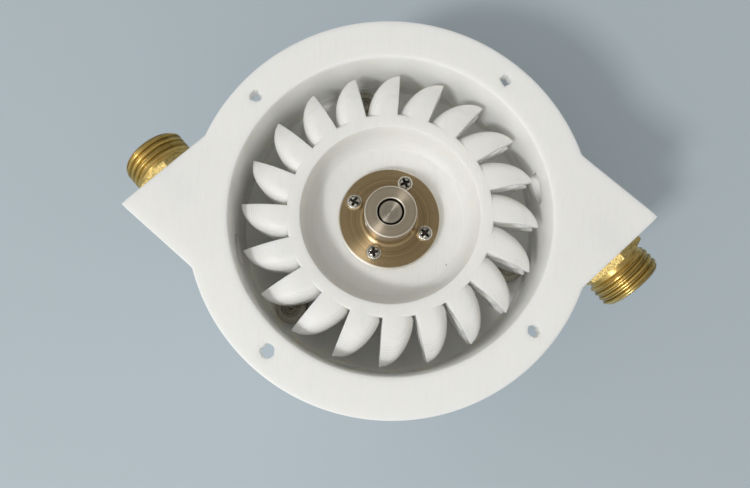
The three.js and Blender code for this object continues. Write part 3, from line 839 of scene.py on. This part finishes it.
def makeCoupling():
    sizes = couplingSizes
    radius, boss, edge, fillet = sizes["radius"], sizes["bossRadius"], sizes["edge"], sizes["fillet"]
    bore, boreEdge = sizes["bore"], sizes["boreEdge"]
    profile = [(bore, couplingBottom), (radius - edge, couplingBottom), (radius, couplingBottom + edge),
               (radius, couplingTop - edge), (radius - 0.3 * edge, couplingTop - 0.3 * edge),
               (radius - edge, couplingTop)]
    profile += arc((boss + fillet, couplingTop + fillet), fillet, fillet, 270, 180, 12)
    profile += [(boss, bossTop - edge), (boss - 0.3 * edge, bossTop - 0.3 * edge), (boss - edge, bossTop),
                (bore + boreEdge, bossTop), (bore, bossTop - boreEdge)]
    piece = lathe(profile, sides=128, ring=True)
    drill(piece, screwSpots, screwSizes["hole"], couplingBottom, couplingTop, sides=24)
    for degrees in grubSizes["angles"]:
        cut(piece, place(rod(grubSizes["hole"], bore / 2, boss + past), grubPlace(degrees)))
    return piece


def hexSocket(acrossFlats, bottom, top):
    return rod(acrossFlats / math.sqrt(3), bottom, top, sides=6)


def makeGrubScrew():
    sizes = grubSizes
    piece = rod(sizes["radius"], sizes["inner"], sizes["outer"], sides=40)
    softenEdges(piece, sizes["edge"])
    cut(piece, hexSocket(sizes["socket"], sizes["outer"] - sizes["socketDepth"], sizes["outer"] + past))
    return piece


# One slot of a cross recess, narrower at its floor
def recessTool(degrees):
    sizes = screwSizes
    height, depth = sizes["headHeight"], sizes["recessDepth"]
    tool = box((sizes["recessLength"], sizes["recessWidth"], 2 * depth), (0, 0, height), degrees)
    editAll(tool)
    bpy.ops.mesh.select_all(action="DESELECT")
    endEdit()
    for face in tool.data.polygons:
        face.select = face.normal.z < -0.9
    startEdit(tool)
    taper = sizes["recessTaper"]
    bpy.ops.transform.resize(value=(taper, taper, 1), center_override=(0, 0, height - depth))
    endEdit()
    return tool


# Pan-head screw about its own axis, head's underside at zero
def makePanScrew():
    sizes = screwSizes
    radius, height = sizes["headRadius"], sizes["headHeight"]
    shank, steps = sizes["shankRadius"], sizes["domeSteps"]
    skirt = sizes["skirt"] * height
    profile = [(0, -sizes["reach"]), (shank, -sizes["reach"]), (shank, 0), (radius, 0), (radius, skirt)]
    for step in range(1, steps + 1):
        angle = step / steps * math.pi / 2
        across = math.cos(angle) ** sizes["domeAcross"] if step < steps else 0
        profile.append((radius * across, skirt + (height - skirt) * math.sin(angle) ** sizes["domeUp"]))
    piece = lathe(profile, sides=48)
    for degrees in (0, 90):
        cut(piece, recessTool(degrees))
    softenEdges(piece, sizes["headEdge"], angle=50)
    return piece


screwLook = {
    "bright": (0.8, 0.76, 0.67, 1), "dull": (0.62, 0.58, 0.5, 1), "toothDepth": 0.00016,
    "paintedShadeBelow": (0.1, 0.3), "paintedShadeWithin": (1.75, 2.05),
}


# Bright head with painted shade darkening its recess
def recessedSteel():
    look = screwLook
    material, shader, sockets = newMaterial("screwSteel", Metallic=1.0)
    own = shader.ownPlace()
    rings = shader.group("turnedRings", Place=own, Pitch=0.4)
    grain = shader.group("fineGrain", Place=own, Patch=0.6, Tooth=2.6)
    # Painted shade: near black low in the recess and near the axis, where little light reaches
    wavy = shader.math("MULTIPLY_ADD", grain["Height"], 0.7, shader.split(own)[2])
    deepest, least = [screwSizes["headHeight"] + rise for rise in look["paintedShadeBelow"]]
    recessShade = shader.math("MULTIPLY", shader.span(wavy, deepest, least, 1.0, 0.0),
                        shader.span(rings["Radius"], *look["paintedShadeWithin"], 1.0, 0.0))
    colour = shader.mixColour(grain["Tone"], look["bright"], look["dull"])
    colour = shader.cover(colour, recessShade, 0.96, wearAndLightLook["paintedShade"])
    roughness = shader.math("MULTIPLY_ADD", recessShade, 0.35, 0.16)
    shader.surface(sockets, colour, roughness, shader.bump(grain["Height"], look["toothDepth"]))
    return material


def makeShaft():
    sizes = shaftSizes
    radius, low, high = sizes["radius"], sizes["lowEdge"], sizes["topEdge"]
    bottom, top = heights("shaft")
    return lathe([(0, bottom), (radius - low, bottom), (radius, bottom + low), (radius, top - high),
                  (sizes["flat"], top), (sizes["centreRadius"], top), (0, top - sizes["centreDepth"])],
                 sides=64)


rimRadius, bossRadius, bore = [couplingSizes[name] for name in ("radius", "bossRadius", "bore")]
# Painted highlights on the rim, boss and bore edges; painted shade down the bore
nickel = turnedMetal("nickelPlate", greyWithin=bossRadius + 0.05, shadeBand=(0, bore + 0.05),
                     highlightRings=((rimRadius - 0.13, 0.34), (bossRadius - 0.16, 0.17), (bore + 0.2, 0.13)))
steel = turnedMetal("brightSteel")
# Painted shade on the shaft's top chamfer, in the gap inside the coupling's bore
shaftSteel = turnedMetal("shaftSteel", shadeBand=(shaftSizes["flat"], shaftSizes["radius"] + 0.1))
boltMetal = turnedMetal("boltMetal")
aluminium = turnedMetal("aluminium")

finishPiece(makeCoupling(), "shaftCoupling", nickel, "rotor", ["shaft_coupling"])
finishCopies(makePanScrew(), "couplingScrew", recessedSteel(), "rotor", "coupling_screw_",
             [Matrix.Translation((spot.x, spot.y, couplingTop)) for spot in screwSpots],
             screwSizes["firstTurn"], screwSizes["nextTurn"])
finishCopies(makeGrubScrew(), "grubScrew", boltMetal, "rotor", "grub_screw_",
             [grubPlace(degrees) for degrees in grubSizes["angles"]])
finishPiece(makeShaft(), "turbineShaft", shaftSteel, "rotor", ["shaft"])
print("coupling, screws and shaft made")


# Bolts on the chamber floor, with turned rings and a dimple on the head

def makeBolt():
    sizes = boltSizes
    head, top, edge = sizes["headRadius"], sizes["headHeight"], sizes["headEdge"]
    shank, step, low = sizes["shankRadius"], sizes["stepRadius"], sizes["headHeight"] - sizes["stepDepth"]
    profile = [(0, -sizes["reach"]), (shank, -sizes["reach"]), (shank, 0), (head, 0), (head, top - edge),
               (head - edge / 3, top - edge / 3), (head - edge, top), (step + 0.1, top), (step, low - 0.12),
               (step - 0.2, low)]
    profile += [(radius, low + rise) for radius, rise in sizes["rings"]]
    dimple = low - sizes["dimpleDepth"]
    profile += [(sizes["dimpleRadius"], low), (0.75, dimple + 0.1), (0.4, dimple), (0, dimple - 0.05)]
    return lathe(profile, sides=64)


finishCopies(makeBolt(), "housingBolt", boltMetal, "root", "housing_bolt_",
             [Matrix.Translation(spot) for spot in boltSpots])
print("bolts made")


# Brass inlet fittings: hexagon, neck and helical thread, and the stub in the ear

fittingSizes = {
    "threadRadius": 10.2, "coreRadius": 9.3, "coreEdge": 0.15, "pitch": 1.81, "turns": 4, "ridgeRound": 2,
    "ridgeShares": (-1, -0.8, -0.6, -0.42, -0.26, -0.1, 0.1, 0.26, 0.42, 0.6, 0.8, 1), "hexAcross": 20.2,
    "hexThickness": 2.8, "hexTwist": 4.5, "hexCorner": 0.6, "hexFace": 0.2, "hexEdge": 0.12,
    "neckRadius": 9.2, "neckLength": 1.4, "stubLength": 11.5, "stubRadius": 9.9, "waterRadius": 7.5,
    "mouthLip": 0.2, "mouthEdge": 0.5, "leftTwist": 3.5, "rightTwist": -1.5,
}
threadStart = fittingSizes["hexThickness"] + fittingSizes["neckLength"]
brassLook = {
    "bright": (0.9, 0.6, 0.15, 1), "dull": (0.12, 0.068, 0.013, 1), "groove": (0.02, 0.013, 0.004, 1),
    "grit": (0.86, 0.64, 0.23, 1), "pit": (0.2, 0.13, 0.035, 1), "valleyFrom": 0.1, "valleyTo": 0.7,
    "sandedShine": 0.46, "turnedShine": 0.27, "sandedDepth": 0.0004, "turnedDepth": 0.00006,
    "ringDepth": 0.000006,
}


# Sanded up to the top of the hexagon and turned beyond it, with painted shade darkening the valleys between
# the ridges
def brassFinish():
    sizes, look = fittingSizes, brassLook
    material, shader, sockets = newMaterial("brass", Metallic=1.0)
    own = shader.ownPlace()
    rings = shader.group("turnedRings", Place=own, Pitch=0.23)
    grain = shader.group("fineGrain", Place=own, Patch=0.25, Tooth=2.1)
    grime = shader.group("grime", Place=own, Scale=0.35, Amount=0.5)
    edge = shader.group("edgeWearAndHighlight", Place=own, Start=0.52, Full=0.58)
    z = shader.split(own)[2]
    beyondHex = shader.span(z, sizes["hexThickness"] - 0.05, sizes["hexThickness"] + 0.05)
    # Painted shade: the valleys between the thread's ridges, near black
    valley = shader.span(rings["Radius"], sizes["coreRadius"] + look["valleyFrom"],
                         sizes["coreRadius"] + look["valleyTo"], 1.0, 0.0)
    valley = shader.math("MULTIPLY", valley, shader.span(z, threadStart, threadStart + 0.2))
    sanded = shader.mixColour(shader.span(grain["Height"], 0.42, 0.54), look["pit"], look["grit"])
    colour = shader.mixColour(rings["Tone"], look["bright"], look["dull"])
    colour = shader.mixColour(beyondHex, sanded, colour)
    colour = shader.cover(colour, grime["Mask"], 0.5, look["groove"])
    colour = shader.cover(colour, valley, 0.92, look["groove"])
    # Sharp edges in the bright grit colour: partly worn, partly a painted highlight
    colour = shader.cover(colour, edge["Mask"], 0.6, look["grit"])
    roughness = shader.mix(beyondHex, look["sandedShine"], look["turnedShine"])
    gritDepth = shader.mix(beyondHex, look["sandedDepth"], look["turnedDepth"])
    grit = shader.bump(grain["Height"], gritDepth, 0.7)
    shader.surface(sockets, colour, roughness, shader.bump(rings["Height"], look["ringDepth"], normal=grit))
    return material


# Ridge swept up the core by a Screw modifier, trimmed to the thread's length with faded ends
def makeThread(start, end):
    sizes = fittingSizes
    core, crest, pitch = sizes["coreRadius"], sizes["threadRadius"], sizes["pitch"]
    base, half = core - 0.3, pitch / 2 - 0.02
    ridge = drawOutline([(base + (crest - base) * (1 - abs(share) ** sizes["ridgeRound"]), 0,
                          start - pitch + share * half) for share in sizes["ridgeShares"]])
    editAll(ridge)
    bpy.ops.mesh.delete(type="ONLY_FACE")
    endEdit()
    modify(ridge, "SCREW", axis="Z", angle=2 * math.pi, screw_offset=pitch, iterations=sizes["turns"] + 2,
           steps=96, render_steps=96, use_merge_vertices=False)
    editAll(ridge)
    bpy.ops.mesh.remove_doubles(threshold=mergeDistance)
    bpy.ops.mesh.select_all(action="DESELECT")
    bpy.ops.mesh.select_mode(type="EDGE")
    bpy.ops.mesh.select_non_manifold()
    bpy.ops.mesh.fill()
    bpy.ops.mesh.select_all(action="SELECT")
    bpy.ops.mesh.normals_make_consistent(inside=False)
    bpy.ops.mesh.select_mode(type="VERT")
    endEdit()
    fade, outside, inside = crest - core + 0.1, crest + 0.1, core - 0.2
    envelope = lathe([(inside, start), (core, start), (outside, start + fade), (outside, end - fade),
                      (core, end), (inside, end)], ring=True)
    combine(ridge, envelope, "INTERSECT", selfCrossing=True)
    return ridge


def makeFitting():
    sizes = fittingSizes
    thickness, stub, neck = sizes["hexThickness"], sizes["stubRadius"], sizes["neckRadius"]
    coreRadius, water, edge = sizes["coreRadius"], sizes["waterRadius"], sizes["coreEdge"]
    end = threadStart + sizes["turns"] * sizes["pitch"]
    mouth = end + sizes["mouthLip"]
    corner = sizes["hexAcross"] / math.sqrt(3)
    hexagon = place(rod(corner, 0, thickness, sides=6), turned(sizes["hexTwist"]))
    trim = lathe([(0, -past), (corner + 0.1, -past), (corner + 0.1, thickness - sizes["hexCorner"]),
                  (sizes["hexAcross"] / 2 - sizes["hexFace"], thickness + 0.01), (0, thickness + 0.01)])
    combine(hexagon, trim, "INTERSECT")
    softenEdges(hexagon, sizes["hexEdge"], angle=20)
    core = lathe([(water, -sizes["stubLength"]), (stub, -sizes["stubLength"]), (stub, thickness / 2),
                  (neck, thickness / 2), (neck, threadStart - edge), (coreRadius, threadStart),
                  (coreRadius, mouth - edge), (coreRadius - edge, mouth),
                  (water + sizes["mouthEdge"], mouth), (water, mouth - sizes["mouthEdge"])], ring=True)
    cut(hexagon, rod(stub - 0.5, -past, thickness + past, sides=96))
    combine(core, hexagon, "UNION")
    combine(core, makeThread(threadStart, end), "UNION", selfCrossing=True)
    return core


brass = brassFinish()
fitting = makeFitting()
for side, turn in (("left", 0), ("right", 180)):
    finishPiece(copyOf(fitting), "inletFitting." + side, brass, "root", ["inlet_fitting_" + side],
                turned(turn) @ fittingPlace() @ turned(fittingSizes[side + "Twist"]))
bpy.data.objects.remove(fitting)
print("inlet fittings made")


# Generator under the housing

caseBottom, caseTop = heights("generator_case")
plateTop = heights("generator_plate")[1]
generatorSizes = {
    "plateRadius": 49, "plateEdge": 0.5, "caseRadius": 43, "caseEdge": 0.4, "groove": 0.5, "grooveFrom": 3,
    "capRadius": 45, "capEdge": 1.2, "capTopEdge": 0.3, "bearingRadius": 11.2, "bearingDepth": 3.6,
    "shaftHole": 5,
}
capScrewSizes = {
    "circle": 36, "phase": 45, "radius": 3.4, "edge": 0.5, "head": 1.8, "recess": 2.4, "room": 0.4,
    "shank": 1.7, "reach": 12, "socket": 2.5, "socketDepth": 1.1,
}
grommetSizes = {
    "above": 28, "radius": 5, "round": 0.9, "hole": 4, "neck": 3.8, "bore": 2.4, "boreEdge": 0.3,
    "lip": 2.2, "inset": 4, "rubber": (0.018, 0.018, 0.018, 1), "worn": (0.035, 0.034, 0.033, 1),
    "dust": (0.3, 0.3, 0.28, 1), "toothDepth": 0.00002,
}
capScrewSpots = spotsRound(4, capScrewSizes["circle"], capScrewSizes["phase"])


def makeCase():
    sizes = generatorSizes
    radius, groove, edge = sizes["caseRadius"], sizes["groove"], sizes["caseEdge"]
    profile = [(0, caseBottom), (radius - edge, caseBottom), (radius, caseBottom + edge)]
    for height in (caseBottom + sizes["grooveFrom"], caseTop - sizes["grooveFrom"]):
        profile += [(radius, height - groove), (radius - groove, height - groove / 2),
                    (radius - groove, height + groove / 2), (radius, height + groove)]
    piece = lathe(profile + [(radius, caseTop - edge), (radius - edge, caseTop), (0, caseTop)], sides=128)
    inset = grommetSizes["inset"]
    seat = rod(grommetSizes["hole"], 0, 2 * inset, sides=40)
    place(seat, Matrix.Translation((0, -radius + inset + past, grommetSizes["above"])) @ turned(90, "X"))
    cut(piece, seat, rod(sizes["bearingRadius"], caseTop - sizes["bearingDepth"], caseTop + past, sides=64),
        rod(sizes["shaftHole"], heights("shaft")[0] - past, caseTop, sides=48))
    return piece


def makePlate():
    sizes = generatorSizes
    edge = sizes["plateEdge"]
    piece = disc(sizes["plateRadius"], caseTop, plateTop, edge, edge, inner=sizes["bearingRadius"])
    drill(piece, boltSpots, housingSizes["boltHole"], caseTop, plateTop)
    return piece


def makeEndCap():
    sizes = generatorSizes
    piece = disc(sizes["capRadius"], 0, caseBottom, sizes["capEdge"], sizes["capTopEdge"])
    recessRadius = capScrewSizes["radius"] + capScrewSizes["room"]
    for spot in capScrewSpots:
        cut(piece, rod(recessRadius, -past, capScrewSizes["recess"], spot, sides=40))
    return piece


# Cap screw about its own axis: the head looks down
def makeCapScrew():
    sizes = capScrewSizes
    radius, edge, shank, top = sizes["radius"], sizes["edge"], sizes["shank"], sizes["recess"]
    low = top - sizes["head"]
    piece = lathe([(0, low), (radius - edge, low), (radius - 0.2 * edge, low + 0.6 * edge),
                   (radius, low + 1.4 * edge), (radius, top), (shank, top), (shank, top + sizes["reach"]),
                   (0, top + sizes["reach"])], sides=48)
    cut(piece, hexSocket(sizes["socket"], low - past, low + sizes["socketDepth"]))
    return piece


def makeGrommet():
    sizes = grommetSizes
    radius, lip, bore, curve = sizes["radius"], sizes["lip"], sizes["bore"], sizes["round"]
    profile = [(bore, -sizes["inset"]), (sizes["neck"], -sizes["inset"]), (sizes["neck"], 0), (radius, 0)]
    profile += arc((radius - curve, lip - curve), curve, curve, 0, 90, 6)
    profile += [(bore + sizes["boreEdge"], lip), (bore, lip - sizes["boreEdge"])]
    return lathe(profile, sides=48, ring=True)


def rubberFinish():
    look = grommetSizes
    material, shader, sockets = newMaterial("blackRubber", IOR=1.5)
    own = shader.ownPlace()
    grain = shader.group("fineGrain", Place=own, Patch=0.4, Tooth=4.0)
    specks = shader.group("specks", Place=own, Scale=0.9, Size=0.15, Share=0.2)
    colour = shader.mixColour(grain["Tone"], look["rubber"], look["worn"])
    colour = shader.cover(colour, specks["Mask"], 0.3, look["dust"])
    roughness = shader.math("MULTIPLY_ADD", grain["Height"], 0.3, 0.5)
    shader.surface(sockets, colour, roughness, shader.bump(grain["Height"], look["toothDepth"]))
    return material


finishPiece(makeCase(), "generatorCase", aluminium, "root", ["generator_case"])
finishPiece(makePlate(), "generatorPlate", aluminium, "root", ["generator_plate"])
finishPiece(makeEndCap(), "generatorEndCap", aluminium, "root", ["generator_end_cap"])
finishCopies(makeCapScrew(), "capScrew", steel, "root", "cap_screw_",
             [Matrix.Translation(spot) for spot in capScrewSpots])
grommetPlace = Matrix.Translation((0, -generatorSizes["caseRadius"], grommetSizes["above"]))
finishPiece(makeGrommet(), "leadGrommet", rubberFinish(), "root", ["lead_grommet"],
            grommetPlace @ turned(90, "X"))
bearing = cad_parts["shaft_bearing"]
bearing.data.materials.clear()
bearing.data.materials.append(steel)
print("generator made")


# Floor and lights, in metres

lightSizes = {
    "key": {"turn": 226, "rise": 47, "away": 1.5, "size": 0.2, "power": 9.6},
    "low": 0.46, "high": 0.55, "highFrom": (0.05, 0.5), "overhead": 0.5, "overheadFrom": (0.88, 0.97),
    "lean": 0.7, "sky": (1, 0.99, 0.95, 1), "gamma": 1.13,
    "floor": 4, "paint": (0.42, 0.5, 0.56, 1), "worn": (0.45, 0.53, 0.59, 1),
}


def addLight(name, values):
    rise = math.radians(values["rise"])
    flat = polar(values["away"] * math.cos(rise), values["turn"], values["away"] * math.sin(rise))
    target = Vector((0, 0, housingTop * millimetre))
    deselectAll()
    bpy.ops.object.light_add(type="AREA", location=flat + target)
    light = bpy.context.object
    light.name = name
    light.rotation_euler = flat.to_track_quat("Z", "Y").to_euler()
    light.data.size = values["size"]
    light.data.energy = values["power"]


def addFloor():
    deselectAll()
    bpy.ops.mesh.primitive_plane_add(size=lightSizes["floor"], location=(0, 0, 0))
    floor = bpy.context.object
    floor.name = "floor"
    material, shader, sockets = newMaterial("floorPaint")
    spread = shader.noise(shader.coordinates("Object"), 3.0, 3)
    shader.link(shader.mixColour(spread, lightSizes["paint"], lightSizes["worn"]), sockets["Base Color"])
    shader.link(shader.math("MULTIPLY_ADD", spread, 0.1, 0.6), sockets["Roughness"])
    floor.data.materials.append(material)


# Soft light from all round, stronger on the lamp's side and weaker straight overhead
def addSky():
    sizes = lightSizes
    world = bpy.data.worlds.new("studio")
    world.use_nodes = True
    sky = Shader(world.node_tree)
    skyPlace = sky.coordinates("Generated")
    upward = sky.split(skyPlace)[2]
    keySide = sky.add("ShaderNodeVectorMath", {0: skyPlace, 1: polar(1, sizes["key"]["turn"])},
                      operation="DOT_PRODUCT").outputs["Value"]
    strength = sky.span(upward, *sizes["highFrom"], sizes["low"], sizes["high"])
    strength = sky.math("MULTIPLY", strength, sky.math("MULTIPLY_ADD", keySide, sizes["lean"], 1.0))
    overhead = sky.span(upward, *sizes["overheadFrom"], 1.0, sizes["overhead"])
    strength = sky.math("MULTIPLY", strength, overhead)
    background = world.node_tree.nodes["Background"].inputs
    background["Color"].default_value = sizes["sky"]
    sky.link(strength, background["Strength"])
    scene.world = world


addFloor()
addLight("keyLight", lightSizes["key"])
addSky()
scene.view_settings.view_transform = "Standard"
scene.view_settings.gamma = lightSizes["gamma"]  # shadows lifted, as a phone does
print("floor and lights set")
